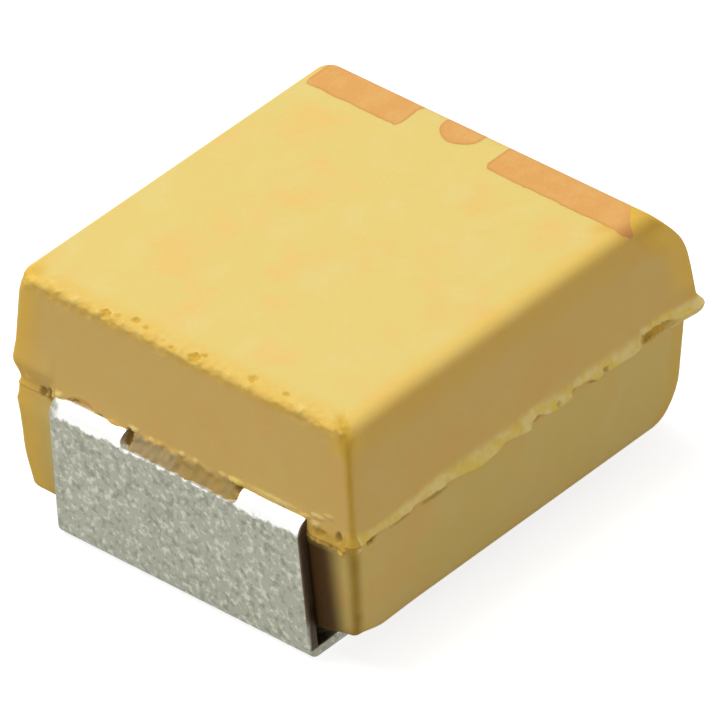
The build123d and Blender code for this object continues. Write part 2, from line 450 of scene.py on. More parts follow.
def camera_axes():
    """The camera's right, up and backward directions."""
    back = Vector((
        math.sin(CAMERA_AZIMUTH) * math.cos(CAMERA_ELEVATION),
        -math.cos(CAMERA_AZIMUTH) * math.cos(CAMERA_ELEVATION),
        math.sin(CAMERA_ELEVATION),
    ))
    level = Vector((math.cos(CAMERA_AZIMUTH), math.sin(CAMERA_AZIMUTH), 0.0))
    rise = back.cross(level)
    right = level * math.cos(CAMERA_ROLL) + rise * math.sin(CAMERA_ROLL)
    return right, back.cross(right), back


def place_camera():
    """Long lens far off, so that the edges stay as parallel as they are in the photograph."""
    right, up, back = camera_axes()
    shift_right = (IMAGE_SIZE / 2 - AIM_PIXEL[0]) / PIXELS_PER_MM
    shift_up = (AIM_PIXEL[1] - IMAGE_SIZE / 2) / PIXELS_PER_MM
    aim = Vector((0.0, 0.0, AIM_HEIGHT)) + right * shift_right + up * shift_up
    data = bpy.data.cameras.new("bench_camera")
    data.sensor_width = SENSOR
    data.lens = SENSOR * CAMERA_DISTANCE * PIXELS_PER_MM / IMAGE_SIZE
    data.clip_start = CLIP_START
    data.clip_end = CLIP_END
    camera = new_object("bench_camera", data)
    turn = Matrix((right, up, back)).transposed().to_4x4()
    camera.matrix_world = Matrix.Translation((aim + back * CAMERA_DISTANCE) * MM) @ turn
    bpy.context.scene.camera = camera


# Columns of points round the case: how many on each side, and in each corner
END_COLUMNS = 270
LONG_COLUMNS = 310
FAR_END_COLUMNS = 150
FAR_LONG_COLUMNS = 160
CORNER_COLUMNS = 12

# Corner radii in plan: near, right, far and left, low on the case and at its top
PLAN_RADII_LOWER = (0.036, 0.080, 0.080, 0.050)
PLAN_RADII_UPPER = (0.032, 0.020, 0.070, 0.060)
PLAN_RADII_TOP = (0.070, 0.045, 0.100, 0.110)
PLAN_RADII_BLEND = 0.16

# Roundings of the bottom and top edges: cathode end, seen side, anode end, far side
FLOOR_RADII = (0.050, 0.095, 0.355, 0.060)
TOP_RADII = (0.040, 0.090, 0.060, 0.030)

# Profile of the anode end above the parting line: heights, and how far out it stands there
ANODE_END_HEIGHTS = (
    1.035, 1.137, 1.25, 1.40, 1.50, 1.56, 1.61, 1.66, 1.73, 1.80, 1.855, 1.882, 1.898, 1.906, 1.91,
)
ANODE_END_REACHES = (
    1.690, 1.684, 1.674, 1.661, 1.647, 1.632, 1.614, 1.592, 1.553, 1.506, 1.463, 1.439, 1.420, 1.404, 1.385,
)

# Heights of the rings: above the floor, on the lower wall, by the parting line, on the upper wall, below the top
FLOOR_RISES = (0, 0.002, 0.007, 0.015, 0.027, 0.043, 0.064, 0.09, 0.125, 0.17, 0.23, 0.30, 0.37)
LOWER_WALL_HEIGHTS = (0.66, 0.80, 0.92)
BAND_START = 0.980
BAND_STEP = 0.0078
BAND_RINGS = 34
UPPER_WALL_HEIGHTS = (1.26, 1.31, 1.38, 1.46, 1.50, 1.53, 1.555, 1.575, 1.595, 1.62, 1.65, 1.69, 1.73, 1.765)
TOP_DROPS = (
    0.125, 0.11, 0.096, 0.083, 0.071, 0.060, 0.050, 0.041, 0.033, 0.026, 0.019, 0.013, 0.008, 0.004, 0.0015, 0.0,
)

# How far the rings that close the flat top and the floor lie in from their edges
TOP_INSETS = (0.006, 0.013, 0.021, 0.030, 0.040, 0.051, 0.063, 0.076, 0.090, 0.105, 0.125, 0.16, 0.24)
FLOOR_INSETS = (0.02, 0.05, 0.09, 0.14, 0.20)

# Side numbers, in the order of the columns
CATHODE_END, SEEN_SIDE, ANODE_END, FAR_SIDE = 0, 1, 2, 3


def case_columns():
    """Side, share along it and outward angle of each column, counter-clockwise from the left corner."""
    columns = []
    counts = (END_COLUMNS, LONG_COLUMNS, FAR_END_COLUMNS, FAR_LONG_COLUMNS)
    for side, count in enumerate(counts):
        angle = math.pi + side * math.pi / 2
        for step in range(count):
            columns.append((side, False, step / count, angle))
        for step in range(CORNER_COLUMNS):
            share = step / CORNER_COLUMNS
            columns.append((side, True, share, angle + share * math.pi / 2))
    return columns


def ring_point(column, low_x, high_x, low_y, high_y, radii):
    """The column's point on a rounded rectangle with these limits."""
    side, in_corner, share, angle = column
    near, right, far, left = radii
    centres = (
        (low_x + near, low_y + near),
        (high_x - right, low_y + right),
        (high_x - far, high_y - far),
        (low_x + left, high_y - left),
    )
    x, y = centres[side]
    if in_corner:
        return x + radii[side] * math.cos(angle), y + radii[side] * math.sin(angle)
    before_x, before_y = centres[side - 1]
    if side in (CATHODE_END, ANODE_END):
        return low_x if side == CATHODE_END else high_x, before_y + share * (y - before_y)
    return before_x + share * (x - before_x), low_y if side == SEEN_SIDE else high_y


def rounding(radius, depth):
    """How far a quarter round of this radius stands in, at a depth below its end."""
    if depth >= radius:
        return 0.0
    return radius - math.sqrt(max(0.0, radius * radius - (radius - depth) ** 2))


def side_inset(side, z):
    """How far a side stands in from its widest, at a height."""
    if z < PARTING:
        return LOWER_INSET + (PARTING - z) * LOWER_SLOPE + rounding(FLOOR_RADII[side], z - CASE_FLOOR)
    if side == ANODE_END:
        return bevel_inset(z)
    slope = FAR_SLOPE if side == FAR_SIDE else UPPER_SLOPE
    return (z - PARTING) * slope + rounding(TOP_RADII[side], CASE_TOP - z)


def bevel_inset(z):
    """The anode end's inset, read from its profile: drafted wall and soft-edged bevel."""
    return CASE_LENGTH / 2 - float(np.interp(z, ANODE_END_HEIGHTS, ANODE_END_REACHES))


def plan_radii(z):
    """Corner radii in plan at a height."""
    if z < PARTING:
        return PLAN_RADII_LOWER
    share = smooth_step(CASE_TOP - PLAN_RADII_BLEND, CASE_TOP, z)
    return tuple(u + share * (t - u) for u, t in zip(PLAN_RADII_UPPER, PLAN_RADII_TOP))


def case_heights():
    """Heights of the rings, close together at the parting line and at the edges."""
    bottom = [CASE_FLOOR + rise for rise in FLOOR_RISES]
    band = [BAND_START + BAND_STEP * step for step in range(BAND_RINGS)]
    top = [CASE_TOP - drop for drop in TOP_DROPS]
    return bottom + list(LOWER_WALL_HEIGHTS) + band + list(UPPER_WALL_HEIGHTS) + top


# Flash along the parting line
FLASH_REACH = 0.046
FLASH_TOP = 1.172
FLASH_TIP = 1.084
FLASH_UNDERCUT = 0.020
FLASH_FLARE = 1.7

# Size and pattern of the noises that break the flash: long ripple, short flutter, fine tremor
FLASH_NOISES = ((0.22, 3.1), (0.060, 7.7), (0.024, 5.3))

# Where things start and are full along the ends (Y) and the seen side (X)
PAST_PLATE_Y = (1.09, 1.13)
GROOVE_START_Y = (1.08, 1.16)
NEAR_TIP_Y = (1.08, 1.14)
LOW_LEDGE_X = (-1.30, -0.80)
NEAR_LEDGE_X = (-1.60, -1.45)
RIGHT_CORNER_X = (1.40, 1.60)
FAR_GROOVE_X = (-1.50, -1.25)

# The flash near the near corner, over the notch and at the right corner
NEAR_TIP = 1.010
LEDGE_DROP = 0.040
FILL_TOP = 1.170
FILL_TIP = 1.026
FILL_UNDERCUT = 0.010
RIGHT_REACH = 0.048
RIGHT_UNDERCUT = 0.090

# Height of the flash's broken tip along the seen side
SEEN_TIP_PLACES = (
    -1.66, -1.45, -1.30, -1.05, -0.97, -0.72, -0.60, -0.45, -0.30, -0.22, -0.12, 0.00, 0.04, 0.07, 0.14,
    0.20, 0.42, 0.47, 0.50, 0.64, 0.70, 0.76, 0.90, 1.12, 1.155, 1.175, 1.40, 1.47, 1.67,
)
SEEN_TIP_HEIGHTS = (
    1.085, 1.090, 1.076, 1.080, 1.078, 1.082, 1.058, 1.034, 1.048, 1.075, 1.058, 1.042, 1.048, 1.100, 1.100,
    1.062, 1.042, 1.058, 1.098, 1.092, 1.048, 1.064, 1.050, 1.032, 1.045, 1.130, 1.130, 1.092, 1.090,
)

# How far the epoxy that fills the notch stands out, how soft its borders are, and where its painted shade ends
NOTCH_FILL = 0.078
NOTCH_BORDER = 0.03
NOTCH_SHADE_TOP_Z = (1.125, 1.165)

# Heights that the parting line marks, and the middle and half height of its roughest band
DETAIL_LOW = 0.93
DETAIL_HIGH = 1.33
ROUGH_BAND_Z = (1.11, 0.09)

# Groove that takes the flash's place round the left corner
GROOVE_Z = 1.080
GROOVE_DEPTH = 0.052
GROOVE_START = 0.02
GROOVE_END = 0.17
GROOVE_LIP = 0.022
GROOVE_LIP_HEIGHT = 0.11
GROOVE_SWELL = 0.012
GROOVE_SWELL_Z = (1.26, 0.12)

# Marks by the parting line of the seen side: place along it, height, half length, half height,
# how far it stands out, what it looks like and how strongly
SEEN_SIDE_MARKS = (
    (-1.62, 1.045, 0.050, 0.055, 0.012, "crumbs_and_ledge_highlight", 0.9),
    (-1.49, 1.040, 0.052, 0.040, -0.030, "pits_and_shade", 0.9),
    # Long thin marks under the flash's tip: painted shadow under the ledge
    (-1.18, 1.018, 0.135, 0.024, -0.006, "pits_and_shade", 0.40),
    (-0.85, 1.012, 0.140, 0.030, -0.008, "pits_and_shade", 0.45),
    (-0.20, 1.030, 0.065, 0.018, -0.006, "pits_and_shade", 0.30),
    (-0.09, 1.085, 0.045, 0.030, 0.006, "golden", 0.60),
    (0.105, 1.065, 0.058, 0.050, -0.020, "resin_edge", 0.90),
    (0.33, 1.068, 0.032, 0.015, -0.010, "pits_and_shade", 0.35),
    (0.49, 1.075, 0.036, 0.026, -0.008, "resin_edge", 0.60),
    (0.795, 1.074, 0.034, 0.020, -0.020, "pits_and_shade", 0.55),
    (1.02, 1.100, 0.060, 0.040, 0.006, "golden", 0.60),
    (1.295, 1.080, 0.150, 0.078, -0.018, "resin_edge", 0.90),
    (1.25, 1.050, 0.060, 0.040, -0.006, "pits_and_shade", 0.45),
)

# The same for the cathode end, with the place measured across it
CATHODE_END_MARKS = (
    (1.343, 1.133, 0.030, 0.022, 0.008, "crumbs_and_ledge_highlight", 0.7),
    (1.217, 1.065, 0.040, 0.040, -0.012, "pits_and_shade", 0.8),
    (1.143, 1.070, 0.050, 0.060, -0.016, "pits_and_shade", 0.7),
    (1.034, 1.140, 0.045, 0.034, 0.022, "crumbs_and_ledge_highlight", 0.7),
    (0.934, 1.132, 0.050, 0.020, -0.012, "pits_and_shade", 0.6),
    (0.840, 1.140, 0.120, 0.046, -0.040, "golden", 0.3),
    (0.682, 1.130, 0.040, 0.020, -0.012, "pits_and_shade", 0.9),
    (0.560, 1.130, 0.060, 0.026, 0.014, "golden", 0.3),
    (-0.800, 1.166, 0.240, 0.020, 0.008, "crumbs_and_ledge_highlight", 0.7),
    (0.415, 1.095, 0.048, 0.065, -0.045, "pits_and_shade", 1.0),
    # Painted shade in the pit at the notch's end
    (0.418, 1.090, 0.040, 0.055, 0.000, "painted_shade", 0.55),
    (0.390, 1.163, 0.055, 0.022, 0.012, "crumbs_and_ledge_highlight", 1.0),
    (0.236, 1.152, 0.032, 0.018, 0.010, "crumbs_and_ledge_highlight", 0.7),
    (0.157, 1.152, 0.026, 0.016, 0.008, "crumbs_and_ledge_highlight", 0.5),
    (-0.034, 1.157, 0.034, 0.020, 0.012, "crumbs_and_ledge_highlight", 0.8),
    (-0.156, 1.156, 0.030, 0.018, 0.008, "crumbs_and_ledge_highlight", 0.5),
    (-0.381, 1.154, 0.040, 0.018, 0.008, "crumbs_and_ledge_highlight", 0.5),
    (-0.500, 1.158, 0.075, 0.024, 0.016, "crumbs_and_ledge_highlight", 1.0),
    (-0.536, 1.110, 0.040, 0.026, -0.020, "pits_and_shade", 0.9),
    (-0.532, 1.050, 0.034, 0.028, -0.014, "pits_and_shade", 0.5),
    (-0.904, 1.128, 0.034, 0.016, -0.010, "pits_and_shade", 0.7),
    (-1.075, 1.150, 0.045, 0.020, 0.008, "crumbs_and_ledge_highlight", 0.7),
    (-1.175, 1.185, 0.065, 0.020, 0.008, "crumbs_and_ledge_highlight", 0.7),
    (-1.270, 1.220, 0.050, 0.016, 0.006, "crumbs_and_ledge_highlight", 0.5),
    (-1.170, 1.125, 0.045, 0.026, 0.012, "crumbs_and_ledge_highlight", 0.5),
    (-1.205, 1.078, 0.060, 0.034, -0.012, "pits_and_shade", 0.45),
    (-1.359, 1.107, 0.034, 0.038, -0.016, "pits_and_shade", 0.8),
    (-1.302, 1.015, 0.022, 0.034, -0.012, "pits_and_shade", 0.6),
    (-1.245, 0.990, 0.070, 0.014, 0.012, "crumbs_and_ledge_highlight", 0.5),
    (-1.410, 1.010, 0.055, 0.016, 0.012, "crumbs_and_ledge_highlight", 0.6),
)

# Swell of the right corner: how far, and where it starts and is full, or fades out at its top
RIGHT_SWELL = 0.031
RIGHT_SWELL_X = (1.30, 1.66)
RIGHT_SWELL_Y = (1.10, 1.45)
RIGHT_SWELL_FOOT_Z = (0.98, 1.06)
RIGHT_SWELL_TOP_Z = (1.60, 1.90)

# How far the near corner leans to the seen side and is drawn up at its foot, and how far round that reaches
NEAR_LEAN = 0.014
NEAR_LEAN_REACH = 0.7
NEAR_LIFT = 0.055
NEAR_LIFT_REACH = 0.30
NEAR_LIFT_HEIGHT = 0.35

# Swell of the left corner: how far, where it fades out, and its middle and half height
LEFT_SWELL = 0.010
LEFT_SWELL_FADE = (0.10, 0.40)
LEFT_SWELL_Z = (0.50, 0.28)

# Pits in the cathode end's top edge: distance across, distance in from the edge, radius
TOP_EDGE_PITS = (
    (0.669, 0.010, 0.046),
    (0.585, 0.036, 0.026),
    (0.462, 0.070, 0.038),
    (0.355, 0.050, 0.026),
    (0.089, -0.010, 0.026),
    (-0.097, 0.004, 0.050),
    (-0.148, 0.055, 0.024),
    (-0.557, 0.060, 0.042),
    (-0.829, 0.070, 0.028),
    (-1.390, 0.062, 0.030),
    (-1.424, -0.010, 0.045),
)

# How resin-rich each upright corner is, and where the corners are golden or carry painted rim highlight: from and
# to, or middle and half
UPRIGHT_RESIN = (1.0, 0.6, 0.4, 0.6)
RESIN_WIDENS_Z = (1.66, 1.84)
BEVEL_Z = (1.50, 1.68)
NEAR_HEAD_REACH = 0.24
NEAR_HEAD_Z = (1.80, 0.17)
RIM_HIGHLIGHT_FOOT_Z = (1.20, 1.30)
RIM_HIGHLIGHT_TOP_Z = (1.74, 1.86)

# The cathode end's ragged top edge, and the slope that its shift follows
RAGGED_EDGE_HEIGHT = 0.12
RAGGED_EDGE_X = -1.35
RAGGED_SLOPE = 0.7
PIT_DEPTH = 0.45

# Tones of the walls: dark near corner (its reach, how much wider at the floor, and how high that goes),
# where the painted wall shade ends below the top, and the painted shade beside the terminal
BELOW_PARTING_Z = (0.94, 1.08)
DARK_FOOT = (0.100, 0.10, 0.12)
WALL_SHADE_END = (0.06, 0.01)
GAP_SHADE_Y = (1.19, 1.385)
GAP_SHADE_Z = (0.965, 1.00)


def flash_of(column, x, y):
    """The flash at a column: its reach, its top, tip and bottom heights, and the share of groove there."""
    side, in_corner = column[:2]
    ripple, flutter, tremor = (grain(x, y, 0.0, size, seed) for size, seed in FLASH_NOISES)
    reach = FLASH_REACH * (0.86 + 0.40 * ripple + 0.40 * flutter + 0.20 * tremor)
    top = FLASH_TOP + 0.012 * ripple + 0.006 * flutter
    tip = FLASH_TIP - 0.016 * ripple + 0.020 * flutter + 0.008 * tremor
    undercut = FLASH_UNDERCUT
    groove = 0.0
    if side in (CATHODE_END, ANODE_END) and not in_corner:
        reach *= smooth_step(*PAST_PLATE_Y, abs(y))
    if side == CATHODE_END and not in_corner:
        groove = smooth_step(*GROOVE_START_Y, y)
        tip += (NEAR_TIP - tip) * smooth_step(*NEAR_TIP_Y, -y)
        if NOTCH_LOW_Y < y < NOTCH_HIGH_Y:
            reach = NOTCH_FILL + 0.004 * flutter
            top = FILL_TOP + 0.020 * flutter + 0.010 * tremor
            tip = FILL_TIP
            undercut = FILL_UNDERCUT
    if side == SEEN_SIDE and not in_corner:
        tip = float(np.interp(x, SEEN_TIP_PLACES, SEEN_TIP_HEIGHTS)) + 0.008 * flutter + 0.004 * tremor
        top -= LEDGE_DROP * fade_out(*LOW_LEDGE_X, x) * smooth_step(*NEAR_LEDGE_X, x)
    by_right_corner = smooth_step(*RIGHT_CORNER_X, x) * smooth_step(*PAST_PLATE_Y, -y)
    reach += (RIGHT_REACH - reach) * by_right_corner
    undercut += RIGHT_UNDERCUT * by_right_corner
    if side == FAR_SIDE:
        groove = 1.0 if in_corner else fade_out(*FAR_GROOVE_X, x)
    return reach * (1.0 - groove), top, tip, tip - undercut, groove


def flash_profile(z, reach, top, tip, bottom):
    """How far the flash stands out at a height: a ledge that flares down to a broken tip."""
    if z >= top or z <= bottom:
        return 0.0
    if z >= tip:
        return reach * ((top - z) / (top - tip)) ** FLASH_FLARE
    return reach * (z - bottom) / (tip - bottom)


def groove_profile(z):
    """How far the left corner stands in: a long round from above down to a sharp bottom, and a lip under it."""
    if z >= GROOVE_Z:
        swell = GROOVE_SWELL * hump(*GROOVE_SWELL_Z, z)
        return GROOVE_DEPTH * fade_out(GROOVE_Z - GROOVE_START, GROOVE_Z + GROOVE_END, z) - swell
    lip = min(1.0, (GROOVE_Z - z) / GROOVE_LIP_HEIGHT)
    return GROOVE_DEPTH + (GROOVE_LIP - GROOVE_DEPTH) * math.sin(0.5 * math.pi * lip)


def lay_marks(places, along, z, jitter, marks):
    """Lay a side's marks at one of its points, and give back how far they move it outward."""
    shift = 0.0
    for place, height, half_length, half_height, out, name, strength in places:
        away = math.hypot((along - place) / half_length, (z - height) / half_height) + 0.35 * jitter
        if away < 1.0:
            bowl = 1.0 - away * away
            shift += out * bowl
            raise_mark(marks, name, strength * min(1.0, 1.5 * bowl))
    return shift


def wall_detail(column, x, y, z, flash, marks):
    """Outward shift of a wall point near the parting line, whose looks go into its marks."""
    side, in_corner = column[:2]
    reach, top, tip, bottom, groove = flash
    ledge = flash_profile(z, reach, top, tip, bottom)
    shift = ledge - groove * groove_profile(z)
    shift += 0.006 * hump(*ROUGH_BAND_Z, z) * grain(x, y, z, 0.035, 1.9) * min(1.0, ledge / 0.01 + 0.2)
    covered = min(1.0, ledge / 0.012)
    mottled = half_grain(x, y, z, 0.09, 5.5)
    jitter = grain(x, y, z, 0.02, 4.4)
    # The flash is paler: pale crumbs, and painted highlight where its ledge faces up
    marks["crumbs_and_ledge_highlight"] = covered * (0.75 + 0.25 * mottled)
    if side == SEEN_SIDE and not in_corner:
        shift += lay_marks(SEEN_SIDE_MARKS, x, z, jitter, marks)
    if side == CATHODE_END and y < 0.0:
        marks["golden"] = 0.5 * covered
        marks["resin_edge"] = 0.6 * covered * mottled
        marks["pits_and_shade"] = 0.24 * covered
        marks["crumbs_and_ledge_highlight"] = 0.0
    if side == CATHODE_END and not in_corner:
        notch_half = (NOTCH_HIGH_Y - NOTCH_LOW_Y) / 2
        in_notch = fade_out(notch_half - NOTCH_BORDER, notch_half, abs(y - NOTCH_LOW_Y - notch_half))
        rubble = half_grain(x, y, z, 0.05, 6.6)
        shift += 0.016 * in_notch * grain(x, y, z, 0.045, 3.7) * min(1.0, ledge / 0.01)
        # Painted shade in the notch, under the upper half
        marks["notch_shade"] = in_notch * (0.55 + 0.45 * rubble) * fade_out(*NOTCH_SHADE_TOP_Z, z + 0.02 * rubble)
        marks["crumbs_and_ledge_highlight"] *= 1.0 - in_notch
        marks["golden"] *= 1.0 - in_notch
        shift += lay_marks(CATHODE_END_MARKS, y, z, jitter, marks)
    return shift


def right_swell(x, y, z):
    """How far the right corner swells outward on both its sides, above the parting line."""
    along = smooth_step(*RIGHT_SWELL_X, x) * smooth_step(*RIGHT_SWELL_Y, -y)
    return RIGHT_SWELL * along * smooth_step(*RIGHT_SWELL_FOOT_Z, z) * fade_out(*RIGHT_SWELL_TOP_Z, z)


def near_corner_share(x, y, z, reach):
    """1 at the near corner's upright, down to 0 at a distance from it along both sides together."""
    low_x, low_y = ring_limits(z)[0::2]
    return fade_out(0.0, reach, max(0.0, x - low_x) + max(0.0, y - low_y))


def from_left_corner(x, y, z):
    """Distance of a point from the left corner's upright, along both sides together."""
    low_x, high_y = ring_limits(z)[0::3]
    return max(0.0, x - low_x) + max(0.0, high_y - y)


def from_right_corner(column):
    """Distance of a column from the right corner, along the walls."""
    side, in_corner, share = column[:3]
    if side == SEEN_SIDE:
        return 0.0 if in_corner else (1.0 - share) * CASE_LENGTH
    if side == ANODE_END and not in_corner:
        return share * CASE_WIDTH
    return CASE_LENGTH


def move_corners(px, py, pz, x, y, z):
    """A moved wall point, moved on by the swollen, leaning and drawn-up corners."""
    swell = right_swell(x, y, z)
    lean = NEAR_LEAN * near_corner_share(x, y, z, NEAR_LEAN_REACH)
    left = LEFT_SWELL * fade_out(*LEFT_SWELL_FADE, from_left_corner(x, y, z)) * hump(*LEFT_SWELL_Z, z)
    low = fade_out(CASE_FLOOR, CASE_FLOOR + NEAR_LIFT_HEIGHT, z)
    lift = NEAR_LIFT * near_corner_share(x, y, z, NEAR_LIFT_REACH) * low
    return px + swell + lean - left, py - swell - lean + left, pz + lift


def upright_resin(column, x, y, z, more):
    """How resin-rich a point of an upright corner is, fading out over the flat top."""
    side, in_corner, share = column[:3]
    corner = math.sin(math.pi * share) ** 1.5 if in_corner else 0.0
    corner = max(corner, 0.9 * near_corner_share(x, y, z, 0.070 + 0.07 * smooth_step(*RESIN_WIDENS_Z, z)))
    wave = half_grain(x, y, z, 0.11, 8.8)
    return UPRIGHT_RESIN[side] * corner * (0.65 + 0.35 * wave) * fade_out(0.0, 0.10, more)


def golden_corner(column, x, y, z, more):
    """How golden a point by a corner is: most at the bevel's end, less down the uprights."""
    wave = half_grain(x, y, z, 0.15, 3.8)
    high = smooth_step(*BEVEL_Z, z)
    reach = 0.13 + 0.25 * high
    right = (0.50 + 0.45 * high) * fade_out(0.4 * reach, reach, from_right_corner(column))
    left = 0.75 * fade_out(0.08, 0.30, from_left_corner(x, y, z))
    near = 1.15 * near_corner_share(x, y, z, NEAR_HEAD_REACH) * hump(*NEAR_HEAD_Z, z)
    return min(1.0, max(right, left, near)) * (0.75 + 0.25 * wave) * fade_out(0.02, 0.16, more)


def rim_highlight_of(column, x, y, z):
    """How much painted highlight, a warm light tone, the rims of the corners get."""
    patchy = 0.75 + 0.25 * grain(x, y, z, 0.12, 7.1)
    right = 0.85 * fade_out(0.04, 0.26, from_right_corner(column))
    right *= smooth_step(*RIM_HIGHLIGHT_FOOT_Z, z) * fade_out(*RIM_HIGHLIGHT_TOP_Z, z)
    left = 0.70 * fade_out(0.06, 0.24, from_left_corner(x, y, z))
    near = 0.75 * near_corner_share(x, y, z, NEAR_HEAD_REACH) * hump(*NEAR_HEAD_Z, z)
    return max(right, left, near) * patchy


def golden_rim(side, x, y, z, more):
    """How golden a point beside the top edges is, on the wall and on the flat top."""
    if z < PARTING:
        return 0.0
    wave = half_grain(x, y, z, 0.10, 8.8)
    flicker = half_grain(x, y, z, 0.035, 2.8)
    if side == CATHODE_END and more > 0.0:
        return fade_out(0.03, 0.17, more) * (0.15 + 0.60 * wave * flicker + 0.20 * flicker)
    if side == CATHODE_END:
        return fade_out(0.03, 0.12, CASE_TOP - z) * (0.35 + 0.50 * wave)
    if side == SEEN_SIDE and more > 0.0:
        return 0.35 * fade_out(0.0, 0.10, more)
    if side == SEEN_SIDE:
        return 0.55 * fade_out(0.12, 0.34, CASE_TOP - z) * (0.6 + 0.4 * wave)
    return 0.0


def top_edge_detail(x, y, z):
    """Ragged cathode-end top edge: shift along the edge's slope, and its share of pale crumbs and of resin."""
    out = x + CASE_LENGTH / 2 - (CASE_TOP - PARTING) * UPPER_SLOPE
    near = hump(0.02, 0.13, out) * hump(CASE_TOP, RAGGED_EDGE_HEIGHT, z)
    if near <= 0.0:
        return 0.0, 0.0, 0.0
    lumps = grain(x, y, z, 0.120, 2.2) + 0.8 * grain(x, y, z, 0.055, 6.1) + 0.3 * grain(x, y, z, 0.024, 1.7)
    shift = 0.028 * near * lumps * (0.65 + 0.35 * grain(0.0, y, 0.0, 0.5, 9.4))
    rich = 0.0
    for place, in_from_edge, radius in TOP_EDGE_PITS:
        away = math.hypot(y - place, out - in_from_edge - 0.02, CASE_TOP - z) / radius
        away += 0.3 * grain(x, y, z, 0.02, 4.4)
        if away < 1.0:
            bowl = 1.0 - away * away
            shift -= PIT_DEPTH * radius * bowl
            rich = max(rich, min(0.85, 1.4 * bowl))
    return shift, 0.35 * near * smooth_step(0.2, 0.9, lumps), rich


def ring_limits(z, more=0.0):
    """The limits of the rounded rectangle at a height, less some more inset on the flat top."""
    return (
        -CASE_LENGTH / 2 + side_inset(CATHODE_END, z) + more,
        CASE_LENGTH / 2 - side_inset(ANODE_END, z) - more,
        -CASE_WIDTH / 2 + side_inset(SEEN_SIDE, z) + more,
        CASE_WIDTH / 2 - side_inset(FAR_SIDE, z) - more,
    )


# Masks that the case's points carry for its finish
CASE_MARKS = ("golden", "rim_highlight", "resin_edge", "crumbs_and_ledge_highlight", "notch_shade", "pits_and_shade", "wall_shade_tint", "painted_shade")


def build_case(material):
    """The moulded case as rings of points from its floor to its top, with every mark of the mould."""
    columns = case_columns()
    mid = ring_limits(PARTING)
    flashes = [flash_of(column, *ring_point(column, *mid, PLAN_RADII_UPPER)) for column in columns]
    rings = [(CASE_FLOOR, inset) for inset in reversed(FLOOR_INSETS)]
    rings += [(z, 0.0) for z in case_heights()] + [(CASE_TOP, inset) for inset in TOP_INSETS]
    points = []
    layers = {name: [] for name in CASE_MARKS}
    for z, more in rings:
        limits = ring_limits(z, more)
        radii = plan_radii(z)
        for column, flash in zip(columns, flashes):
            x, y = ring_point(column, *limits, radii)
            point, marks = case_point(column, x, y, z, more, flash)
            points.append(point)
            for name in CASE_MARKS:
                layers[name].append(marks[name])
    case = new_piece("moulded_case_body", points, ring_faces(len(rings), len(columns)), material)
    for name, values in layers.items():
        paint(case, name, values)
    case.data.shade_smooth()
    return case


def ring_faces(rings, count):
    """Faces between rings of so many points each, and one face that closes either end."""
    faces = []
    for ring in range(rings - 1):
        low = ring * count
        for step in range(count):
            following = (step + 1) % count
            faces.append((low + step, low + following, low + count + following, low + count + step))
    faces.append(tuple(reversed(range(count))))
    faces.append(tuple(range((rings - 1) * count, rings * count)))
    return faces


def paint(piece, name, values):
    """Paint a mask on a piece's points."""
    layer = piece.data.attributes.new(name, "FLOAT", "POINT")
    layer.data.foreach_set("value", np.array(values, np.float32))


def case_point(column, x, y, z, more, flash):
    """One point of the case and its marks."""
    marks = dict.fromkeys(CASE_MARKS, 0.0)
    shift = wall_detail(column, x, y, z, flash, marks) if DETAIL_LOW < z < DETAIL_HIGH else 0.0
    angle = column[3]
    px, py, pz = move_corners(x + shift * math.cos(angle), y + shift * math.sin(angle), z, x, y, z)
    rich = 0.0
    if z > CASE_TOP - RAGGED_EDGE_HEIGHT and x < RAGGED_EDGE_X:
        slope_shift, marks["crumbs_and_ledge_highlight"], rich = top_edge_detail(x, y, z)
        px -= RAGGED_SLOPE * slope_shift
        pz += RAGGED_SLOPE * slope_shift
    golden = golden_corner(column, x, y, z, more)
    if x > 1.0 and y < 0.0:
        rich = 0.45 * golden * smooth_step(1.70, 1.90, z)
    clear = 1.0 - marks["crumbs_and_ledge_highlight"]
    raise_mark(marks, "golden", max(golden, golden_rim(column[0], x, y, z, more)))
    raise_mark(marks, "resin_edge", max(rich, clear * upright_resin(column, x, y, z, more)))
    if more == 0.0 or z < PARTING:
        tone_wall(column, x, y, z, more, marks)
    return (px, py, pz), marks


def raise_mark(marks, name, value):
    """Raise a mark to a value, where it is lower."""
    marks[name] = max(marks[name], value)


def tone_wall(column, x, y, z, more, marks):
    """Marks of the walls and the floor: painted highlight on the corner rims, a dark foot, painted wall shade and
    painted shade beside the terminal.
    """
    # Painted highlight on the corner rims
    marks["rim_highlight"] = rim_highlight_of(column, x, y, z)
    below = fade_out(*BELOW_PARTING_Z, z)
    reach, wider, height = DARK_FOOT
    foot = near_corner_share(x, y, z, reach + wider * fade_out(CASE_FLOOR, CASE_FLOOR + height, z))
    raise_mark(marks, "pits_and_shade", 0.80 * below * foot * (0.75 + 0.25 * grain(x, y, z, 0.09, 2.6)))
    shade_start, shade_end = WALL_SHADE_END
    # Painted shade: the walls warmer and darker than the flat top, less so below the parting line
    marks["wall_shade_tint"] = (0.45 - 0.25 * below) * fade_out(CASE_TOP - shade_start, CASE_TOP - shade_end, z)
    raise_mark(marks, "painted_shade", gap_shade_of(column, y, z) * fade_out(0.0, 0.12, more))


def gap_shade_of(column, y, z):
    """Painted shade on the lower wall beside the terminal's plate, where the plate and its gap shade it."""
    if column[0] != CATHODE_END or column[1] or y > 0.0:
        return 0.0
    return 0.97 * fade_out(*GAP_SHADE_Y, -y) * fade_out(*GAP_SHADE_Z, z)


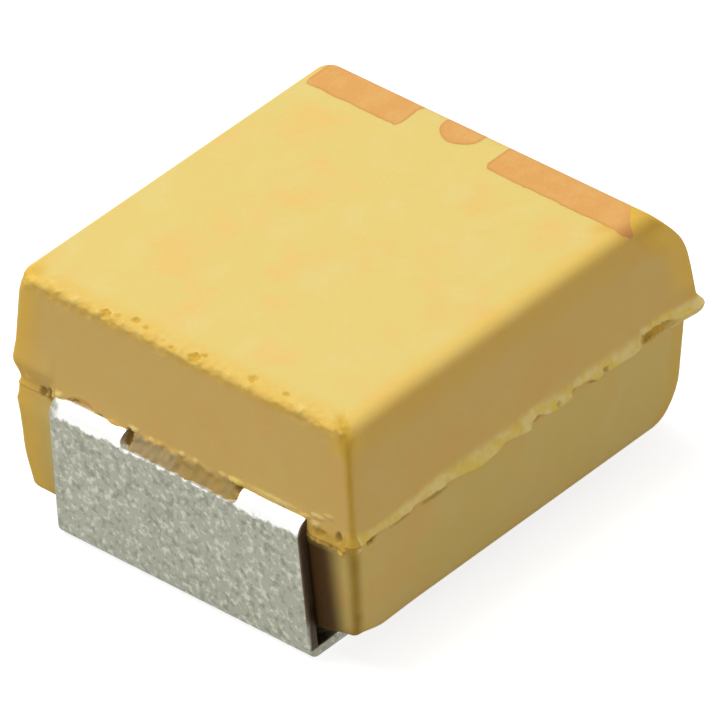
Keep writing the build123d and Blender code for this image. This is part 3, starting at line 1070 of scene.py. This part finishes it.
# Polarity mark: how high the ink lies, and how far above and under the top its skin is looked for
INK_LIFT = 0.0012
INK_DROP = 0.3
MARK_INNER_X = 1.135
MARK_OUTER_X = 1.425
MARK_GAP_LOW = -0.185
MARK_GAP_HIGH = 0.560
DISC_Y = 0.180
DISC_RADIUS = 0.165
DISC_X = 1.375
DISC_RINGS = 16
DISC_SPOKES = 72
DISC_CUT_STEP = 0.0005
BAR_ROWS = 34
BAR_STEPS = 150
MARK_LOW_Y = -1.405
MARK_HIGH_Y = 1.368
MARK_END_START = 1.17
MARK_END_STOP = 1.405
MARK_END_LOSS = 0.20
WORN_INK_START = MARK_END_START + 0.06
RIM_WIDTH = 0.03
EDGE_WAVE = 0.010
BAR_CORNER = 0.05


def case_surface(case):
    """A tree for finding the case's skin under a point."""
    points = [v.co / MM for v in case.data.vertices]
    polygons = [tuple(p.vertices) for p in case.data.polygons if len(p.vertices) == 4]
    return bvhtree.BVHTree.FromPolygons(points, polygons)


def drop_on(skin, x, y):
    """Height of the case's skin at a place, with the flat top where no ring is met."""
    start = Vector((x, y, CASE_TOP + INK_DROP))
    hit = skin.ray_cast(start, Vector((0.0, 0.0, -1.0)), 2 * INK_DROP)[0]
    return CASE_TOP if hit is None else hit.z


def mark_outer_edge(y):
    """How far out the print reaches: it fails towards the right corner."""
    return MARK_OUTER_X - MARK_END_LOSS * smooth_step(MARK_END_START, MARK_END_STOP, -y)


def bar_point(u, v, row, low_y, high_y):
    """Place and rim share of a point of a bar: u of the way outward and v of the way across."""
    end_wave = EDGE_WAVE * grain(row * 0.02, low_y, 0.0, 0.12, 1.3)
    y = low_y + end_wave * hump(0.0, 0.5, v) + (high_y - low_y) * v
    inner = MARK_INNER_X + EDGE_WAVE * grain(0.0, y, 0.0, 0.13, 5.9) + 0.006 * grain(0.0, y, 0.0, 0.04, 2.9)
    inner += BAR_CORNER * (hump(0.0, 0.04, v) ** 2 + hump(1.0, 0.04, v) ** 2)
    outer = mark_outer_edge(y)
    edge = min(u * (outer - inner), v * (high_y - low_y), (1.0 - v) * (high_y - low_y))
    rim = max(0.55 * fade_out(0.0, RIM_WIDTH, edge), 0.8 * smooth_step(WORN_INK_START, MARK_END_STOP, -y))
    return inner + (outer - inner) * u, y, rim


def lay_bar(low_y, high_y):
    """Points (x, y, rim share) and faces of one bar, between two places across the case."""
    stride = BAR_STEPS + 1
    points = [
        bar_point(i / BAR_ROWS, j / BAR_STEPS, i, low_y, high_y)
        for i in range(BAR_ROWS + 1) for j in range(stride)
    ]
    starts = [i * stride + j for i in range(BAR_ROWS) for j in range(BAR_STEPS)]
    return points, [(a, a + stride, a + stride + 1, a + 1) for a in starts]


def lay_disc():
    """Points (x, y, rim share) and faces of the disc, cut straight by the bevel's edge."""
    points = [(DISC_X, DISC_Y, 0.0)]
    for i in range(1, DISC_RINGS + 1):
        for j in range(DISC_SPOKES):
            turn = 2 * math.pi * j / DISC_SPOKES
            reach = DISC_RADIUS * (1.0 + 0.05 * grain(math.cos(turn), math.sin(turn), 0.0, 0.6, 3.3))
            reach *= i / DISC_RINGS
            x = min(DISC_X + reach * math.cos(turn), MARK_OUTER_X + DISC_CUT_STEP * i)
            points.append((x, DISC_Y + reach * math.sin(turn), 0.5 * smooth_step(0.8, 1.0, i / DISC_RINGS)))
    faces = []
    for j in range(DISC_SPOKES):
        following = (j + 1) % DISC_SPOKES
        faces.append((0, 1 + j, 1 + following))
        for low in range(1, 1 + (DISC_RINGS - 1) * DISC_SPOKES, DISC_SPOKES):
            faces.append((low + j, low + DISC_SPOKES + j, low + DISC_SPOKES + following, low + following))
    return points, faces


def build_mark(case, material):
    """The printed mark: two bars and a disc of ink on the case's skin."""
    points = []
    faces = []
    for field in (lay_bar(MARK_LOW_Y, MARK_GAP_LOW), lay_bar(MARK_GAP_HIGH, MARK_HIGH_Y), lay_disc()):
        first = len(points)
        points += field[0]
        faces += [tuple(first + corner for corner in face) for face in field[1]]
    skin = case_surface(case)
    places = [(x, y, drop_on(skin, x, y) + INK_LIFT) for x, y, rim in points]
    mark = new_piece("polarity_mark_print", places, faces, material)
    paint(mark, "ink_rim", [rim for x, y, rim in points])
    mark.data.shade_smooth()
    return mark


# Geometry Nodes tools
def new_node_tree(name, inputs):
    """Start a Geometry Nodes tree with named inputs, listed by kind."""
    tree = bpy.data.node_groups.new(name, "GeometryNodeTree")
    tree.interface.new_socket("Geometry", in_out="OUTPUT", socket_type="NodeSocketGeometry")
    for kind, labels in inputs.items():
        for label in labels:
            tree.interface.new_socket(label, in_out="INPUT", socket_type="NodeSocket" + kind)
    return tree, tree.nodes.new("NodeGroupInput").outputs, tree.nodes.new("NodeGroupOutput")


def end_tree(tree, geometry, given, result):
    """Close a tree with real geometry that wears the finish."""
    real = add_node(tree, "GeometryNodeRealizeInstances", {"Geometry": geometry}).outputs["Geometry"]
    finish = add_node(tree, "GeometryNodeSetMaterial", {"Geometry": real, "Material": given["Finish"]})
    tree.links.new(finish.outputs["Geometry"], result.inputs["Geometry"])


def run_tree(piece_name, source, tree, values):
    """Run a tree on a source object and keep the result as a plain mesh piece."""
    modifier = source.modifiers.new("build", "NODES")
    modifier.node_group = tree
    for item in tree.interface.items_tree:
        if item.in_out == "INPUT" and item.name in values:
            modifier[item.identifier] = values[item.name]
    bpy.context.view_layer.update()
    graph = bpy.context.evaluated_depsgraph_get()
    mesh = bpy.data.meshes.new_from_object(source.evaluated_get(graph), depsgraph=graph)
    bpy.data.objects.remove(source)
    mesh.name = piece_name
    piece = new_object(piece_name, mesh)
    return piece


def add_sweep(tree, line, width, given):
    """Sweep a strip's section with rounded edges along a line, and cut the notch from it."""
    sides = {"Width": width, "Height": given["Thickness"]}
    section = add_node(tree, "GeometryNodeCurvePrimitiveQuadrilateral", sides).outputs["Curve"]
    edges = {"Curve": section, "Radius": given["Edge Radius"], "Count": STRIP_EDGE_STEPS}
    profile = add_node(tree, "GeometryNodeFilletCurve", edges, mode="POLY").outputs["Curve"]
    path = {"Curve": line, "Profile Curve": profile, "Fill Caps": True}
    sweep = add_node(tree, "GeometryNodeCurveToMesh", path).outputs["Mesh"]
    cutter = add_node(tree, "GeometryNodeObjectInfo", {"Object": given["Cutter"]}).outputs["Geometry"]
    solids = {"Mesh 1": sweep, "Mesh 2": cutter}
    cut = add_node(tree, "GeometryNodeMeshBoolean", solids, operation="DIFFERENCE", solver="EXACT")
    return cut.outputs["Mesh"]


def strip_tree():
    """Tree that sweeps a wide strip and its narrower tab, each along its own bent line."""
    tree, given, result = new_node_tree("folded_strip", {
        "Geometry": ("Geometry",),
        "Object": ("Tab Line", "Cutter"),
        "Float": ("Strip Width", "Tab Width", "Thickness", "Edge Radius"),
        "Vector": ("Scale",),
        "Material": ("Finish",),
    })
    tab_line = add_node(tree, "GeometryNodeObjectInfo", {"Object": given["Tab Line"]}).outputs["Geometry"]
    joined = tree.nodes.new("GeometryNodeJoinGeometry")
    for line, width in ((given["Geometry"], "Strip Width"), (tab_line, "Tab Width")):
        tree.links.new(add_sweep(tree, line, given[width], given), joined.inputs["Geometry"])
    shrink = {"Geometry": joined.outputs["Geometry"], "Scale": given["Scale"]}
    end_tree(tree, add_node(tree, "GeometryNodeTransform", shrink).outputs["Geometry"], given, result)
    return tree


def bent_line(name, stations):
    """A line through stations (x, z, bend radius) with a round bend at each, 1 unit for a millimetre."""
    corners = [complex(*station[:2]) for station in stations]
    places = [corners[0]]
    for index in range(1, len(corners) - 1):
        places += bend_points(*corners[index - 1:index + 2], stations[index][2])
    places.append(corners[-1])
    data = bpy.data.curves.new(name, "CURVE")
    data.dimensions = "3D"
    data.twist_mode = "MINIMUM"
    line = data.splines.new("POLY")
    line.points.add(len(places) - 1)
    for point, place in zip(line.points, places):
        point.co = (place.real, 0.0, place.imag, 1.0)
    return new_object(name, data)


def bend_points(before, corner, after, radius):
    """Points of the round bend at a corner, with x and z held as a complex number."""
    into = (corner - before) / abs(corner - before)
    out = (after - corner) / abs(after - corner)
    turn = cmath.phase(out / into)
    start = corner - into * radius * math.tan(abs(turn) / 2)
    centre = start + into * complex(0.0, math.copysign(radius, turn))
    spoke = start - centre
    return [centre + spoke * cmath.exp(complex(0.0, turn * step / BEND_STEPS)) for step in range(BEND_STEPS + 1)]


def notch_cutter(end):
    """The block that cuts the notch, with rounded lower corners."""
    radius = NOTCH_CORNER_RADIUS
    outline = []
    bottom = STRIP_TOP - NOTCH_DROP
    for centre_y, start in ((NOTCH_LOW_Y + radius, math.pi), (NOTCH_HIGH_Y - radius, 1.5 * math.pi)):
        for step in range(NOTCH_CORNER_STEPS + 1):
            turn = start + step / NOTCH_CORNER_STEPS * math.pi / 2
            outline.append((centre_y + radius * math.cos(turn), bottom + radius + radius * math.sin(turn)))
    outline.append((NOTCH_HIGH_Y, STRIP_TOP + NOTCH_OVERSHOOT))
    outline.append((NOTCH_LOW_Y, STRIP_TOP + NOTCH_OVERSHOOT))
    depths = (end * NOTCH_END_X, end * (SHOULDER_X + NOTCH_OVERSHOOT))
    points = [(x, y, z) for x in depths for y, z in outline]
    count = len(outline)
    faces = [(i, (i + 1) % count, count + (i + 1) % count, count + i) for i in range(count)]
    faces += [tuple(reversed(range(count))), tuple(range(count, 2 * count))]
    if end < 0:
        faces = [tuple(reversed(face)) for face in faces]
    return mesh_object("notch_cutter", points, faces, 1.0)


def build_terminal(node, tree, material):
    """One folded terminal: from its foot round its heel and shoulder into the case, and its inner tab."""
    end, strip_end_x, tab_width, stations = TERMINALS[node]
    half = STRIP_THICKNESS / 2
    line = bent_line(node + "_line", (
        (end * FOOT_TIP_X, half, 0.0),
        (end * (HEEL_X - half), half, HEEL_BEND_RADIUS),
        (end * (SHOULDER_X - half), SHOULDER_TOP - half, BEND_RADIUS),
        (end * strip_end_x, STRIP_TOP - half, 0.0),
    ))
    tab_line = bent_line(node + "_tab_line", [(end * x, z - half, radius) for x, z, radius in stations])
    cutter = notch_cutter(end)
    terminal = run_tree(node + "_strip", line, tree, {
        "Tab Line": tab_line,
        "Strip Width": STRIP_WIDTH,
        "Tab Width": tab_width,
        "Thickness": STRIP_THICKNESS,
        "Edge Radius": STRIP_EDGE_RADIUS,
        "Cutter": cutter,
        "Scale": (MM, MM, MM),
        "Finish": material,
    })
    bpy.data.objects.remove(cutter)
    bpy.data.objects.remove(tab_line)
    terminal.data.shade_smooth()
    terminal.data.set_sharp_from_angle(angle=SHARP_ANGLE)
    return terminal


def trim_left_shoulder(terminal):
    """Draw the left side of the seen terminal's shoulder in a little, as it was sheared."""
    for vertex in terminal.data.vertices:
        place = vertex.co / MM
        share = smooth_step(*TRIM_Z, place.z) * smooth_step(*TRIM_Y, place.y)
        vertex.co.y -= LEFT_SHOULDER_TRIM * share * MM


# Floor, lights and world
FLOOR_LIFT_SEEN = 0.80
FLOOR_LIFT_MIRRORED = 0.62
FLOOR_GREY = (0.45, 0.45, 0.45, 1.0)
FLOOR_HALF = 120.0
AMBIENT = 0.34
LAMP_AIM = Vector((0.0, 0.0, 1.0))

# Lamps: name, place, size and power
LAMPS = (
    ("overhead_lamp", (-6.0, 22.0, 56.0), 46.0, 0.0290),
    ("left_lamp", (-60.0, -10.0, 22.0), 30.0, 0.0025),
    ("front_lamp", (30.0, -60.0, 20.0), 40.0, 0.0055),
)


def build_floor():
    """A plain pale floor that turns white for the camera and keeps the capacitor's shadow."""
    material, tree = new_material("white_bench")[:2]
    tree.nodes.clear()
    rays = tree.nodes.new("ShaderNodeLightPath").outputs
    by_gloss = larger(tree, rays["Is Glossy Ray"], rays["Is Transmission Ray"])
    by_eye = times(tree, rays["Is Camera Ray"], FLOOR_LIFT_SEEN)
    lift = larger(tree, by_eye, times(tree, by_gloss, FLOOR_LIFT_MIRRORED))
    matt = add_node(tree, "ShaderNodeBsdfDiffuse", {"Color": FLOOR_GREY}).outputs["BSDF"]
    glow = add_node(tree, "ShaderNodeEmission", {"Strength": lift}).outputs["Emission"]
    total = add_node(tree, "ShaderNodeAddShader", {0: matt, 1: glow}).outputs["Shader"]
    add_node(tree, "ShaderNodeOutputMaterial", {"Surface": total})
    corners = ((-1, -1), (1, -1), (1, 1), (-1, 1))
    floor = mesh_object("bench", [(x * FLOOR_HALF, y * FLOOR_HALF, 0.0) for x, y in corners], [(0, 1, 2, 3)])
    floor.data.materials.append(material)


def light_world():
    """Even soft light all round, white where the camera or a gloss looks past the floor."""
    world = bpy.data.worlds.new("soft_room")
    bpy.context.scene.world = world
    world.use_nodes = True
    tree = world.node_tree
    background = tree.nodes["Background"]
    rays = tree.nodes.new("ShaderNodeLightPath").outputs
    seen = larger(tree, rays["Is Camera Ray"], rays["Is Glossy Ray"])
    seen = larger(tree, seen, rays["Is Transmission Ray"])
    strength = remap(tree, seen, 0.0, 1.0, AMBIENT, 1.0)
    tree.links.new(strength, background.inputs["Strength"])
    background.inputs["Color"].default_value = (1.0, 1.0, 1.0, 1.0)


def light_bench():
    """Square soft lamps that look at the middle of the capacitor."""
    for name, place, size, power in LAMPS:
        data = bpy.data.lights.new(name, "AREA")
        data.size = size * MM
        data.energy = power
        lamp = new_object(name, data)
        lamp.location = Vector(place) * MM
        lamp.rotation_euler = (LAMP_AIM - Vector(place)).to_track_quat("-Z", "Y").to_euler()


def main():
    """Camera, pieces, finishes, floor and lights."""
    place_camera()
    epoxy = make_epoxy()
    tin = make_tin()
    ink = make_ink()
    case = build_case(epoxy)
    mark = build_mark(case, ink)
    tree = strip_tree()
    cathode = build_terminal("cathode_terminal", tree, tin)
    trim_left_shoulder(cathode)
    anode = build_terminal("anode_terminal", tree, tin)
    for piece, node in (
        (case, "moulded_case"),
        (mark, "polarity_mark"),
        (cathode, "cathode_terminal"),
        (anode, "anode_terminal"),
    ):
        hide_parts(node)
        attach(piece, "root")
    dress_hidden_nodes()
    build_floor()
    light_world()
    light_bench()
    bpy.context.scene.view_settings.view_transform = "Standard"


main()
